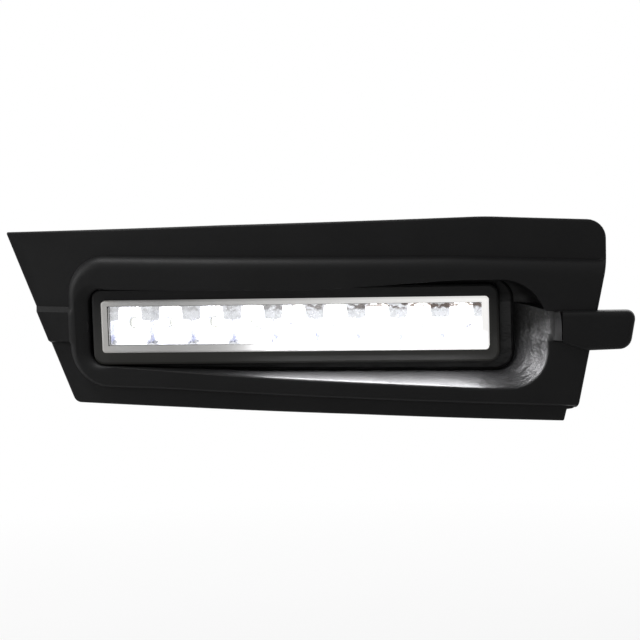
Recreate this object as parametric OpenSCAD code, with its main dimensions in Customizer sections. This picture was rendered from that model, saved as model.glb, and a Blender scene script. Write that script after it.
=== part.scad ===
// Daytime running light: a lit lamp in the scooped recess of a moulded bumper cover panel.
// X runs along the panel, Y runs back into the bumper, Z is up. The origin lies midway
// between the two bumper screw holes, and the lamp's axis passes through it.
// Depths named "at" are measured back from the lens face.

/* [Lens] */
// Width of the lens
lens_w = 180; // [150:1:200]
// Height of the lens
lens_h = 24.2; // [22:0.1:30]
// Thickness of the lens front
lens_wall = 2.5; // [1.5:0.1:3]
// Width of the lens skirt, seen as the plain border
lens_border = 2.8; // [1.5:0.1:4]
// Depth of the lens from face to skirt end
lens_depth = 4.6; // [4:0.1:5]
// Corner radius of the lens
lens_r = 1.6; // [1:0.1:2.5]
// Thickness of the seal under the skirt
seal_t = 0.4; // [0.2:0.1:0.8]

/* [Lamp housing] */
// Width of the rim beside the lens
rim_side = 4.8; // [4:0.1:8]
// Width of the rim above and below the lens
rim_above = 5.9; // [5:0.1:8]
// Corner radius of the rim
rim_r = 5; // [3:0.5:7]
// How far the lens stands proud of the rim
lens_proud = 2; // [1:0.1:3]
// Thickness of the rim
rim_t = 5; // [4:0.5:7]
// Width of the rim's seat on the panel
seat_w = 3.2; // [2:0.1:3.6]
// Depth of the housing behind its rim
housing_depth = 15; // [13:0.5:20]
// Corner radius of the housing behind its rim
housing_r = 3; // [1:0.5:4]

/* [Light sources] */
// Depth of the reflector cups
cup_depth = 10; // [8:0.5:11]
// Focal length of the cups
cup_focus = 2.6; // [2:0.1:3.2]
// Wall at the reflector's ends
tray_wall = 0.8; // [0.6:0.1:1.5]
// Side of a light source's base
led_side = 3.5; // [2.5:0.1:4]
// Radius of a light source's dome
led_dome = 1.4; // [0.8:0.1:1.6]
// Thickness of the board
board_t = 1.6; // [1:0.1:2]
// Thickness of the thermal pad
pad_t = 0.5; // [0.3:0.1:1]

/* [Heat sink] */
// Thickness of the heat sink's flange
flange_t = 2.5; // [2:0.1:4]
// Height of the fins behind the flange
fin_h = 7; // [4:0.5:9]
// Thickness of a fin
fin_t = 1.4; // [1:0.1:2]
// Distance from fin to fin
fin_pitch = 6.5; // [5:0.1:9]
// Thickness of the gasket between housing and heat sink
gasket_t = 0.8; // [0.5:0.1:1.5]
// Radius of the cable gland
gland_r = 5.5; // [4.5:0.1:6.5]
// Radius of the bore that the lead enters by
lead_r = 2.2; // [1.5:0.1:3]
// Length of the cable gland behind the flange
gland_l = 11; // [8:0.5:14]

/* [Cover panel] */
// Wall of the moulding
wall = 2.5; // [2:0.1:3]
// Radius of the panel's curve, seen from above
bow_r = 900; // [700:10:1400]
// Where along X the curve stands furthest forward
crest_x = 120; // [100:1:140]
// How far the crest stands ahead of the lens
crest_ahead = 27; // [24:0.5:32]
// How far the strips lie behind the frame
step = 5; // [4:0.1:6]
// Depth of the returned edge behind the strips
return_d = 7; // [4:0.5:9]
// Radius of the frame's upper shoulder
shoulder_top = 6; // [4:0.5:7]
// Radius of the frame's left shoulder
shoulder_left = 4; // [3:0.5:5]
// Radius of the frame's lower shoulder
shoulder_low = 2; // [1.5:0.1:3]
// Corner radius of the frame
frame_r = 19; // [14:1:20]

/* [Recess] */
// Gap between the rim and the recess at the left
rim_gap = 1.2; // [1:0.1:2]
// Width of the scoop beside the rim
scoop_side = 22.4; // [16:0.1:26]
// Rise of the scoop above the rim
scoop_up = 5.1; // [3:0.1:6]
// Drop of the scoop below the rim
scoop_down = 7.3; // [5:0.1:8]
// Width of the floor beside the rim
floor_side = 6.4; // [4:0.1:7]
// Width of the floor below the rim
floor_low = 4.6; // [3:0.1:5]

/* [Styling line] */
// Height of the swage and slat above the lamp axis
line_up = 8.9; // [8:0.1:10]
// Depth of the swage and slat below the lamp axis
line_down = 8.4; // [6:0.1:8.5]
// How far the swage stands proud of the left wing
swage_out = 3.4; // [2:0.1:4]
// How far the slat stands proud of the panel
slat_out = 3.2; // [2:0.1:4]
// Reach of the slat past the scoop's edge
slat_reach = 39.2; // [30:0.1:44]

/* [Fixings] */
// How far the lens face stands ahead of the screw holes
lens_ahead = 32; // [32:0.5:40]
// Distance from the rim's end to each bumper screw
screw_side = 15.2; // [13:0.1:17]
// Radius of the bumper screw holes
bumper_hole_r = 2.75; // [2:0.05:3]
// Thickness of the bumper brackets
ear_t = 2; // [1.5:0.1:3]
// Thickness of a clip tab
tab_t = 2; // [1.5:0.1:2.5]
// Thickness of a spring clip
clip_t = 0.6; // [0.4:0.1:0.8]
// Thickness of a lamp bracket
bracket_t = 1.5; // [1:0.1:2]
// Shaft radius of the small screws
small_r = 1.5; // [1.2:0.1:1.6]
// Shaft length of the small screws
small_l = 7; // [6:0.5:8]

/* [Hidden] */
$fn = 48;
eps = 0.01;
fit = 0.2;
led_count = 9;

// Half sizes of the lamp's outlines
lens_hw = lens_w / 2;
lens_hh = lens_h / 2;
rim_hw = lens_hw + rim_side;
rim_hh = lens_hh + rim_above;
body_hw = rim_hw - seat_w;
body_hh = rim_hh - seat_w;
cavity_hw = lens_hw - lens_border;
cavity_hh = lens_hh - lens_border;
cell_w = (2 * (cavity_hw - fit - tray_wall)) / led_count;

// Depths behind the lens face
rim_at = lens_proud;
seat_at = rim_at + rim_t;
ledge_at = lens_depth + seal_t;
tray_at = ledge_at + fit;
board_at = tray_at + cup_depth;
pad_at = board_at + board_t;
pedestal_at = pad_at + pad_t;
body_at = seat_at + housing_depth;
flange_at = body_at + gasket_t;
fins_at = flange_at + flange_t;

// Corner points of the outlines, as [x, z, corner radius]
cutout = [
    [-body_hw - fit, body_hh + fit, housing_r],
    [body_hw + fit, body_hh + fit, housing_r],
    [body_hw + fit, -body_hh - fit, housing_r],
    [-body_hw - fit, -body_hh - fit, housing_r]
];
floor_edge = [
    [-rim_hw - rim_gap, rim_hh + 0.8, 7],
    [rim_hw + floor_side, rim_hh + 1.8, 9],
    [rim_hw + floor_side, -rim_hh - floor_low - 0.6, 9],
    [-0.16 * rim_hw, -rim_hh - floor_low, 90],
    [-rim_hw - rim_gap, -rim_hh - 0.5, 7]
];
opening = [
    [-rim_hw - rim_gap, rim_hh, 7],
    [0.08 * rim_hw, rim_hh + 0.4, 80],
    [0.82 * rim_hw, rim_hh + scoop_up, 60],
    [rim_hw + scoop_side, rim_hh + scoop_up, 20],
    [rim_hw + scoop_side, -rim_hh - scoop_down, 17],
    [0.93 * rim_hw, -rim_hh - scoop_down, 40],
    [-rim_hw - rim_gap, -rim_hh + 0.3, 7]
];
frame_left = rim_hw + rim_gap + 10.6;
frame_top = rim_hh + 15.2;
frame = [
    [-frame_left, frame_top, frame_r],
    [0.79 * rim_hw, frame_top, 200],
    [2 * rim_hw, frame_top - 4.4, 1],
    [2 * rim_hw, -rim_hh - 18.2, 1],
    [-0.63 * rim_hw, -rim_hh - 10.4, 200],
    [-frame_left, -rim_hh - 10.4, frame_r]
];
panel_top = rim_hh + 25.7;
panel_low = -rim_hh - 18.4;
panel_left = rim_hw + 43.3;
panel_right = rim_hw + 48.6;
lean_left = 0.407;
// The left edge leans in towards the bottom
function left_x(z) = -panel_left + (panel_top - z) * lean_left;
// Heights at which the swage's outline turns
swage_z = [line_up, line_up - 2.6, 0, -line_down + 1.4, -line_down];
outline = concat(
    [[left_x(panel_low), panel_low, 4]],
    [for (i = [len(swage_z) - 1:-1:0]) [left_x(swage_z[i]), swage_z[i], 0]],
    [
        [-panel_left, panel_top, 0.4],
        [-0.32 * rim_hw, panel_top + 3.9, 600],
        [0.95 * rim_hw, panel_top + 7, 150],
        [panel_right, panel_top + 4.6, 8.5],
        [panel_right, rim_hh + 10, 40],
        [rim_hw + 35.4, -rim_hh - 17.6, 5],
        [rim_hw + 30.4, -rim_hh - 18, 0.6],
        [rim_hw + 29.1, panel_low - 4.8, 0.8],
        [0.32 * rim_hw, panel_low - 2.2, 600],
        [-0.53 * rim_hw, panel_low - 0.7, 400]
    ]
);
// Inner rectangle that the sections fan out from
hub_left = -body_hw + 8;
hub_right = body_hw - 4;
hub_top = line_up + 0.3;
hub_low = -line_down - 0.1;

// Small vector helpers
function unit(v) = v / norm(v);
function turn(a, b) = a[0] * b[1] - a[1] * b[0];
function clamp(v, lo, hi) = max(lo, min(hi, v));
function blend(a, b, f) = a + (b - a) * f;

// Arc of n steps that rounds the corner p between its neighbours a and b
function arc_at(a, p, b, r, n) =
    let (
        u = unit(a - p),
        v = unit(b - p),
        half = acos(clamp(u * v, -1, 1)) / 2,
        c = p + unit(u + v) * r / sin(half),
        start = p + u * r / tan(half) - c,
        sweep = 180 - 2 * half,
        way = turn(u, start) > 0 ? 1 : -1
    )
    [for (i = [0:n]) let (t = way * sweep * i / n)
        c + [start[0] * cos(t) - start[1] * sin(t), start[0] * sin(t) + start[1] * cos(t)]];

// Closed outline with its corners rounded
function ring(corners, n = 8) = [
    for (i = [0:len(corners) - 1])
        let (
            m = len(corners),
            a = corners[(i + m - 1) % m],
            p = corners[i],
            b = corners[(i + 1) % m]
        )
        each p[2] == 0
            ? [[p[0], p[1]]]
            : arc_at([a[0], a[1]], [p[0], p[1]], [b[0], b[1]], p[2], p[2] < 1 ? 2 : n)
];

// The hub point that faces an outline point
function hub(q) = [clamp(q[0], hub_left, hub_right), clamp(q[1], hub_low, hub_top)];

// Outline with points added, closely at the ends and widely along the middle
function spaced(path) = [
    for (i = [0:len(path) - 1])
        let (
            a = path[i],
            b = path[(i + 1) % len(path)],
            mid = (a + b) / 2,
            middle = abs(mid[1]) > rim_hh + 12 && a[0] > hub_left - 8 && a[0] < hub_right - 8,
            n = ceil(norm(b - a) / (middle ? 16 : 6.2) - 0.2)
        )
        each [for (k = [0:n - 1]) blend(a, b, k / n)]
];

// Distance from c along d to where it crosses a closed path
function reach(c, d, path) = max([
    for (i = [0:len(path) - 1])
        let (
            a = path[i],
            e = path[(i + 1) % len(path)] - a,
            k = turn(d, e),
            t = k == 0 ? -1 : turn(a - c, e) / k,
            u = k == 0 ? -1 : turn(a - c, d) / k
        )
        u >= -0.0001 && u <= 1.0001 ? t : 0
]);

// Depth of the frame's face, which is an arc seen from above
function face_at(x) = bow_r - crest_ahead - sqrt(bow_r * bow_r - pow(x - crest_x, 2));

// How much of the swage stands at a height, from 0 to 1
function swage(z) = clamp(min((swage_z[0] - z) / (swage_z[0] - swage_z[1]),
    (z - swage_z[4]) / (swage_z[3] - swage_z[4])), 0, 1);

// Fall from the frame to the strips at a distance s outside the frame's foot line
function fall(s, r) = s <= -r ? 0 : s >= 0 ? step : step * (1 - sqrt(max(0, 1 - pow((s + r) / r, 2))));
function fall_behind(s) = step * clamp((s + wall + 1.6) / 2.6, 0, 1);

// One section of the moulding, as [distance from the hub, depth behind the lens face]
function section(c, d, edge, cosine, rings) =
    let (
        to_left = pow(max(0, -d[0]), 2),
        to_right = d[1] > 0 ? clamp(1.6 * d[0], 0, 1) : pow(max(0, d[0]), 2),
        hole = reach(c, d, rings[0]),
        foot = reach(c, d, rings[1]),
        open = reach(c, d, rings[2]),
        overhead = clamp((c[1] + d[1] * open) / line_up, 0, 1),
        sill = reach(c, d, rings[3]),
        tilt = d[0] > 0 ? max(0.3, abs(d[1])) : 1,
        r = blend(d[1] > 0 ? shoulder_top : shoulder_low, shoulder_left, to_left),
        lip_w = blend(d[1] > 0 ? 0.8 : 1.6, 7, to_left),
        lip_d = blend(d[1] > 0 ? 0.8 : 1.6, 3.2, to_left),
        z_at = function (t) c[1] + d[1] * t,
        base = function (t) face_at(c[0] + d[0] * t),
        line = 1 - swage_out / step * (d[0] < -0.5 ? 1 : 0),
        rest = function (t) d[0] < -0.5 ? 1 - swage(z_at(t)) * (1 - line) : 1,
        front = function (t) base(t) + fall((t - sill) * tilt, r) * rest(t),
        back = function (t) base(t) + fall_behind((t - sill) * tilt) * rest(t) + wall,
        skin = wall / cosine,
        edge_r = 1.2 / cosine,
        inset = 1.6 / cosine,
        top_at = base(open + lip_w) + lip_d,
        bend = [blend(foot, open, blend(0.5, blend(0.4, 0.95, overhead), to_right)),
            blend(seat_at - 1, top_at, blend(0.5, blend(0.35, 0.05, overhead), to_right))],
        curve = function (k) let (a = [foot, seat_at - 1], b = [open, top_at])
            a * (1 - k) * (1 - k) + bend * 2 * k * (1 - k) + b * k * k,
        slope = function (k) let (a = [foot, seat_at - 1], b = [open, top_at])
            unit((bend - a) * (1 - k) + (b - bend) * k),
        end = edge - edge_r,
        shoulder = [for (k = [0:5]) min(sill - r * (1 - sin(k * 18)) / tilt, end - 0.15 * (7 - k))],
        end_at = base(edge) + step + return_d
    )
    concat(
        [[hole, seat_at], [foot - 0.4, seat_at]],
        [for (k = [0:4]) curve(k / 5)],
        [for (k = [0:3]) let (t = open + lip_w * (1 - cos(k * 30)))
            [t, base(open + lip_w) + lip_d * (1 - sin(k * 30))]],
        [for (k = [1:2]) let (t = blend(open + lip_w, shoulder[0], k / 3)) [t, front(t)]],
        [for (t = shoulder) [t, front(t)]],
        [let (t = min(sill + 0.3, end - 0.24)) [t, front(t)]],
        [let (t = blend(min(sill + 0.3, end - 0.24), end, 0.6)) [t, front(t)]],
        [for (k = [0:3]) [end + edge_r * sin(k * 30), front(end) + 1.2 * (1 - cos(k * 30))]],
        [[edge - inset, end_at]],
        [[edge - inset - skin, end_at]],
        [let (t = edge - skin - 0.4) [t, back(t)]],
        [for (s = [1, -1.6])
            let (t = min(sill - (wall - s) / tilt, edge - skin - 1.5 + 0.4 * s)) [t, back(t)]],
        [let (t = open + lip_w * 0.4 + wall + 0.4) [t, back(t)]],
        [for (k = [4:-1:0]) let (n = slope(k / 5)) curve(k / 5) + wall * [-n[1], n[0]] * (k == 0 ? 0.9 : 1)],
        [[hole, seat_at + wall]]
    );

// Closed solid from equal sections that follow each other round a loop
module loft_loop(sections) {
    n = len(sections);
    m = len(sections[0]);
    polyhedron(
        points = [for (s = sections) each s],
        faces = [
            for (i = [0:n - 1], j = [0:m - 1])
                let (
                    a = i * m + j,
                    b = i * m + (j + 1) % m,
                    c = ((i + 1) % n) * m + (j + 1) % m,
                    e = ((i + 1) % n) * m + j
                )
                each [[a, b, c], [a, c, e]]
        ],
        convexity = 10
    );
}

// The moulding round the recess, as one annular loft
module panel_shell() {
    path = spaced(ring(outline, 5));
    rings = [ring(cutout, 5), ring(floor_edge), ring(opening, 10), ring(frame, 10)];
    count = len(path);
    loft_loop([
        for (i = [0:count - 1])
            let (
                q = path[i],
                c = hub(q),
                d = unit(q - c),
                along = unit(path[(i + 1) % count] - path[(i + count - 1) % count]),
                cosine = max(0.55, abs(turn(along, d)))
            )
            [for (p = section(c, d, norm(q - c), cosine, rings))
                [c[0] + d[0] * p[0], p[1] - lens_ahead, c[1] + d[1] * p[0]]]
    ]);
}

// Rounded rectangle about the lamp's axis
module round_rect(hw, hh, r) {
    square([2 * (hw - r), 2 * hh], center = true);
    square([2 * hw, 2 * (hh - r)], center = true);
    for (sx = [-1, 1], sz = [-1, 1])
        translate([sx * (hw - r), sz * (hh - r)]) circle(r);
}

// Stands an XZ profile between two depths behind the lens face
module between(near, far) {
    translate([0, far - lens_ahead, 0]) rotate([90, 0, 0]) linear_extrude(far - near) children();
}

// Round bar along Y at x, z
module bar(x, z, r, near, far) {
    translate([x, far - lens_ahead, z]) rotate([90, 0, 0]) cylinder(r = r, h = far - near);
}

// Block between two depths, given by its XZ corners
module block(x0, x1, z0, z1, near, far) {
    translate([x0, near - lens_ahead, z0]) cube([x1 - x0, far - near, z1 - z0]);
}

// Rounded rectangle block whose front edge is rounded over
module soft_block(hw, hh, r, near, far, edge) {
    hull() {
        between(near, near + eps) polygon(ring(box_corners(hw - edge, hh - edge, r - edge), 6));
        between(near + 0.3 * edge, near + 0.3 * edge + eps)
            polygon(ring(box_corners(hw - 0.3 * edge, hh - 0.3 * edge, r - 0.3 * edge), 6));
        between(near + edge, far) polygon(ring(box_corners(hw, hh, r), 6));
    }
}
function box_corners(hw, hh, r) = [[-hw, hh, r], [hw, hh, r], [hw, -hh, r], [-hw, -hh, r]];

// The slat that carries the styling line past the panel's right edge
slat_left = rim_hw + scoop_side;
slat_right = slat_left + slat_reach;
module slat() {
    depth = face_at(slat_left);
    difference() {
        hull() {
            between(depth - slat_out, depth - slat_out + eps) slat_outline(7, 2.2);
            between(depth - slat_out + 0.8, depth - slat_out + 0.8 + eps) slat_outline(6.4, 0.8);
            between(depth - slat_out + 2.6, depth + wall + 0.6) slat_outline(0.1, 0);
        }
        between(depth - slat_out + wall, depth + 2 * wall) slat_outline(10, wall);
    }
}
module slat_outline(cut, inset) {
    top = line_up - inset;
    polygon(ring([
        [slat_left + cut, top, 0],
        [slat_right - inset, top, 3.8],
        [slat_right - 3 - inset, -line_down + 0.4 + inset, 5.6],
        [slat_left + max(16, cut + 8), -line_down - 0.3 + inset, 0],
        [slat_left + cut, -line_down + 4.2 - cut * 0.12 + inset * 0.5, 0]
    ], 5));
}

// Block that narrows towards its back, as a moulded rib or tab does
module drafted(x0, x1, z0, z1, near, far) {
    draft = 0.3;
    hull() {
        block(x0, x1, z0, z1, near, near + 0.1);
        block(x0 + draft, x1 - draft, z0 + draft, z1 - draft, far - 0.1, far);
    }
}

// Rib behind the panel between the recess and the returned edge
rib_t = 1.8;
module rib(x, side) {
    z0 = reach([x, 0], [0, side], ring(opening, 10)) + 2.2;
    z1 = reach([x, 0], [0, side], ring(frame, 10)) - wall;
    z2 = reach([x, 0], [0, side], ring(outline, 5)) - wall;
    near = face_at(x) + wall - 0.5;
    far = face_at(x) + step + return_d - 2;
    for (part = [[z0, z1 - 1.6, near], [z1 - 2, z2, near + step]])
        let (lo = min(side * part[0], side * part[1]), hi = max(side * part[0], side * part[1]))
            drafted(x - rib_t / 2, x + rib_t / 2, lo, hi, part[2], far);
}

// Round boss behind the panel with a screw hole from the back
boss_r = 4;
module boss(x, z, root, far) {
    hull() {
        bar(x, z, boss_r + 0.4, root, root + 0.1);
        bar(x, z, boss_r, far - 0.1, far);
    }
}
module boss_hole(x, z, far) {
    bar(x, z, small_r, far - small_l - 1, far + 1);
}

// Bosses for the lamp brackets beside the housing
boss_x = rim_hw + 6.2;
boss_at = seat_at + 12;

// Gusset between the right boss and the scoop's sloping wall
module gusset() {
    x = rim_hw + floor_side + 1.8;
    hull() {
        block(x, x + 0.5, -rib_t / 2, rib_t / 2, seat_at - 2, boss_at - 3);
        block(x + 7, x + 7.5, -rib_t / 2, rib_t / 2, seat_at - 14, seat_at - 10);
    }
}

// Bosses for the bumper brackets beside the screws and the scoop, as [x, z, depth of the boss's end]
screw_reach = rim_hw + screw_side;
foot_z = rim_hh + 2.5;
left_foot = [-screw_reach, foot_z, face_at(-screw_reach) + step + wall + 8.6];
right_foot = [rim_hw + scoop_side + boss_r + 2, foot_z, seat_at - 13];

// Tab behind the panel that a spring clip grips, as [x, z]
tab_w = 12;
tab_l = 12;
tabs = [
    [-0.76 * rim_hw, rim_hh + 18], [0.76 * rim_hw, rim_hh + 22],
    [-0.61 * rim_hw, -rim_hh - 13.5], [0.76 * rim_hw, -rim_hh - 15.5]
];
function tab_root(t) = face_at(t[0]) + step + wall - 0.8;
function tab_end(t) = face_at(t[0]) + step + return_d + tab_l;
module clip_tab(t) {
    block(t[0] - tab_w / 2, t[0] + tab_w / 2, t[1] - tab_t / 2, t[1] + tab_t / 2, tab_root(t), tab_end(t));
}

// The whole moulding with its slat, ribs, bosses and tabs
module cover_panel() {
    color("#1d1e20") difference() {
        union() {
            panel_shell();
            slat();
            for (f = [-0.42, 0, 0.42, 1.05]) rib(f * rim_hw, 1);
            for (f = [-0.32, 0.21, 0.53]) rib(f * rim_hw, -1);
            boss(-boss_x, 0, face_at(-boss_x) + wall - 0.6, boss_at);
            boss(boss_x, 0, seat_at + 0.6, boss_at);
            gusset();
            boss(left_foot[0], left_foot[1], face_at(left_foot[0]) + step + wall - 0.8, left_foot[2]);
            boss(right_foot[0], right_foot[1], face_at(right_foot[0]) + wall - 0.8, right_foot[2]);
            for (t = tabs) clip_tab(t);
        }
        for (side = [-1, 1]) boss_hole(side * boss_x, 0, boss_at);
        for (p = [left_foot, right_foot]) boss_hole(p[0], p[1], p[2]);
    }
}

// Folded steel bracket: a foot on the panel's boss, a web and an ear with the bumper screw's hole
foot_w = 5.5;
module bumper_bracket(side, foot) {
    x = side * screw_reach;
    web_z = foot[1] - boss_r - 3;
    color("#a3a6aa") difference() {
        union() {
            block(foot[0] - foot_w, foot[0] + foot_w, web_z, foot[1] + boss_r, foot[2], foot[2] + ear_t);
            block(foot[0] - foot_w, foot[0] + foot_w, web_z, web_z + ear_t, foot[2], lens_ahead);
            block(min(x, foot[0]) - foot_w, max(x, foot[0]) + foot_w, -foot_w, web_z + ear_t,
                lens_ahead - ear_t, lens_ahead);
        }
        bar(foot[0], foot[1], small_r + fit, foot[2] - 1, foot[2] + ear_t + 1);
        bar(x, 0, bumper_hole_r, lens_ahead - ear_t - 1, lens_ahead + 1);
    }
}

screw_z = (body_hh + cavity_hh) / 2;
screw_x = body_hw - 5;
sink_screws = [
    [-screw_x, screw_z], [0, screw_z], [screw_x, screw_z],
    [-screw_x, -screw_z], [0, -screw_z], [screw_x, -screw_z]
];

// The lamp brackets' legs and the short screws halfway along them
leg_at = seat_at + wall + 0.5;
side_screw_at = (leg_at + boss_at) / 2;
side_screw_l = 5;
side_head_r = small_r * 1.6;
side_head_t = 1.2;

// Black housing whose rim frames the lens
module lamp_housing() {
    color("#141416") difference() {
        union() {
            soft_block(rim_hw, rim_hh, rim_r, rim_at, seat_at, 1.2);
            between(seat_at - 0.5, body_at) round_rect(body_hw, body_hh, housing_r);
        }
        between(rim_at - 1, ledge_at) round_rect(lens_hw + fit, lens_hh + fit, lens_r + fit);
        between(ledge_at - 1, body_at + 1) round_rect(cavity_hw, cavity_hh, 1);
        for (p = sink_screws) bar(p[0], p[1], small_r, body_at - small_l - 1, body_at + 1);
        for (side = [-1, 1])
            translate([side * (body_hw - side_screw_l), side_screw_at - lens_ahead, 0])
                rotate([0, side * 90, 0]) cylinder(r = small_r, h = side_screw_l + 1);
    }
}

// Clear lens: a front plate with a skirt that sits on the housing's ledge
module lens() {
    color("#e8ecf2", 0.4) difference() {
        soft_block(lens_hw, lens_hh, lens_r, 0, lens_depth, 0.7);
        between(lens_wall, lens_depth + 1) round_rect(cavity_hw, cavity_hh, 1);
    }
}

module lens_seal() {
    color("#0c0c0c") between(lens_depth, ledge_at) difference() {
        round_rect(lens_hw, lens_hh, lens_r);
        round_rect(cavity_hw, cavity_hh, 1);
    }
}

led_x = [for (i = [0:led_count - 1]) (i - (led_count - 1) / 2) * cell_w];
cup_hw = cell_w / 2 - 0.3;
cup_hh = cavity_hh - fit - 0.6;

// Bright tray with one parabolic cup for each light source
module reflector() {
    color("#dfe2e8") difference() {
        between(tray_at, board_at) round_rect(cavity_hw - fit, cavity_hh - fit, 0.8);
        for (x = led_x) intersection() {
            translate([x, board_at - lens_ahead, 0]) rotate([90, 0, 0]) rotate_extrude() polygon(concat(
                [[0, -0.5], [led_side / sqrt(2) + 0.3, -0.5]],
                [for (k = [0:6]) let (h = 0.8 + (cup_depth + 0.4) * k / 6)
                    [sqrt(4 * cup_focus * h) + 0.9, h]],
                [[0, cup_depth + 1.2]]
            ));
            block(x - cup_hw, x + cup_hw, -cup_hh, cup_hh, tray_at - 2, board_at + 1);
        }
    }
}

// Light source: square base with a clear dome
module led(i) {
    color("#fff6d8") translate([led_x[i - 1], board_at - lens_ahead, 0]) rotate([90, 0, 0]) {
        translate([-led_side / 2, -led_side / 2, 0]) cube([led_side, led_side, 0.8]);
        intersection() {
            translate([0, 0, 0.7]) sphere(led_dome);
            translate([0, 0, 0.7]) cylinder(r = 2 * led_dome, h = 2 * led_dome);
        }
    }
}

board_hw = cavity_hw - 1;
board_hh = cavity_hh - 0.6;
module led_board() {
    color("#f2f2ee") difference() {
        between(board_at, pad_at) round_rect(board_hw, board_hh, 1);
        bar(gland_x, 0, 1.2, board_at - 1, pad_at + 1);
    }
}

// The pad and the sink's pedestal leave a window for the lead socket
gland_x = cell_w * 2.5;
window_hw = 5;
window_hh = 4;
module thermal_pad() {
    color("#7f93a8") difference() {
        between(pad_at, pedestal_at) round_rect(board_hw, board_hh, 1);
        block(gland_x - window_hw, gland_x + window_hw, -window_hh, window_hh, pad_at - 1, pedestal_at + 1);
    }
}

module lead_socket() {
    color("#f4f1e6") difference() {
        block(gland_x - window_hw + 0.5, gland_x + window_hw - 0.5, -window_hh + 0.5, window_hh - 0.5,
            pad_at, pad_at + 4);
        for (s = [-1, 1]) bar(gland_x + 2 * s, 0, 0.9, pad_at + 1.5, pad_at + 5);
    }
}

// Finned aluminium back with a pedestal that meets the pad
vent_x = -cell_w * 2.5;
fin_hh = body_hh - 5.6;
fin_span = body_hw - 4;
fin_n = floor(fin_span / fin_pitch);
module heat_sink() {
    color("#9a9da1") difference() {
        union() {
            between(flange_at, fins_at) round_rect(body_hw, body_hh, housing_r);
            between(pedestal_at, flange_at + 0.5) round_rect(board_hw - 0.5, board_hh - 0.5, 1);
            for (i = [-fin_n:fin_n]) let (x = i * fin_pitch)
                if (abs(x - gland_x) > gland_r + 3 && abs(x - vent_x) > 8)
                    block(x - fin_t / 2, x + fin_t / 2, -fin_hh, fin_hh, fins_at - 0.5, fins_at + fin_h);
        }
        block(gland_x - window_hw, gland_x + window_hw, -window_hh, window_hh, pedestal_at - 1, flange_at);
        bar(gland_x, 0, lead_r + 1.2, pedestal_at - 1, fins_at + 1);
        bar(vent_x, 0, 2, pedestal_at - 1, fins_at + 1);
        for (p = sink_screws) bar(p[0], p[1], small_r + fit, flange_at - 1, fins_at + 1);
    }
}

module sink_seal() {
    color("#101010") between(body_at, flange_at) difference() {
        round_rect(body_hw - 0.4, body_hh - 0.4, housing_r);
        round_rect(cavity_hw + 0.5, cavity_hh + 0.5, 1);
        for (p = sink_screws) translate(p) circle(small_r + fit);
    }
}

// Pan head screw along Y with a cross recess, its head's underside at the depth given
head_t = 1.6;
slot_w = 0.6;
module small_screw(x, z, under, length) {
    color("#8d9094") difference() {
        union() {
            bar(x, z, small_r, under - length, under + 0.1);
            bar(x, z, small_r * 1.9, under, under + head_t);
        }
        for (a = [0, 90]) translate([x, under + head_t / 2 - lens_ahead, z]) rotate([0, a, 0])
            translate([-small_r, 0, -slot_w / 2]) cube([2 * small_r, head_t, slot_w]);
    }
}

// Gland with a hexagon, a dome nut and the bore that the lead enters by
module cable_gland() {
    color("#17181a") difference() {
        union() {
            bar(gland_x, 0, lead_r + 1, flange_at + 0.3, fins_at + 1);
            translate([gland_x, fins_at + 3 - lens_ahead, 0]) rotate([90, 0, 0])
                cylinder(r = gland_r * 1.12, h = 3, $fn = 6);
            bar(gland_x, 0, gland_r, fins_at + 2, fins_at + gland_l - 2);
            bar(gland_x, 0, gland_r - 1, fins_at + 3, fins_at + gland_l);
        }
        bar(gland_x, 0, lead_r, flange_at - 1, fins_at + gland_l + 1);
    }
}

module vent_plug() {
    color("#2a2c30") {
        bar(vent_x, 0, 1.8, flange_at, fins_at + 0.5);
        bar(vent_x, 0, 4.5, fins_at, fins_at + 2.2);
    }
}

// Steel bracket: one leg on the housing's end, one foot on the panel's boss
bracket_hh = 6;
module bracket(side) {
    leg = side * body_hw;
    color("#a3a6aa") difference() {
        union() {
            block(min(leg, leg + side * bracket_t), max(leg, leg + side * bracket_t), -bracket_hh, bracket_hh,
                leg_at, boss_at + bracket_t);
            block(min(leg, side * (boss_x + boss_r)), max(leg, side * (boss_x + boss_r)),
                -bracket_hh, bracket_hh, boss_at, boss_at + bracket_t);
        }
        bar(side * boss_x, 0, small_r + fit, boss_at - 1, boss_at + bracket_t + 1);
        translate([leg - side, side_screw_at - lens_ahead, 0]) rotate([0, side * 90, 0])
            cylinder(r = small_r + fit, h = bracket_t + 2);
    }
}

// Screws 1 and 2 hold the left bracket, screws 3 and 4 the right one
module bracket_screw(i) {
    side = i < 3 ? -1 : 1;
    if (i % 2 == 1) small_screw(side * boss_x, 0, boss_at + bracket_t, small_l);
    else side_screw(side);
}
module side_screw(side) {
    under = body_hw + bracket_t;
    color("#8d9094") translate([side * under, side_screw_at - lens_ahead, 0]) rotate([0, side * 90, 0])
        difference() {
            union() {
                translate([0, 0, -side_screw_l]) cylinder(r = small_r, h = side_screw_l + 0.1);
                cylinder(r = side_head_r, h = side_head_t);
            }
            for (a = [0, 90]) rotate([0, 0, a])
                translate([-small_r, -slot_w / 2, side_head_t / 2]) cube([2 * small_r, slot_w, side_head_t]);
        }
}

// Spring clip: a sheet steel U over a tab, with a barb on each side
clip_l = 10;
clip_w = 9;
function clip_side(far, h) = [
    [far + clip_t, h + clip_t], [far - 1, h + clip_t], [far - clip_l + 3.4, h + 2.6],
    [far - clip_l + 3, h + 2], [far - clip_l + 6.6, h + clip_t], [far - clip_l, h + clip_t], [far - clip_l, h]
];
module spring_clip(t) {
    h = tab_t / 2;
    far = tab_end(t);
    side = clip_side(far, h);
    color("#b4b7bb") translate([t[0] - clip_w / 2, -lens_ahead, t[1]]) rotate([90, 0, 90])
        linear_extrude(clip_w) polygon(concat(
            side, [[far, h], [far, -h]],
            [for (i = [len(side) - 1:-1:0]) [side[i][0], -side[i][1]]]
        ));
}

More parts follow.
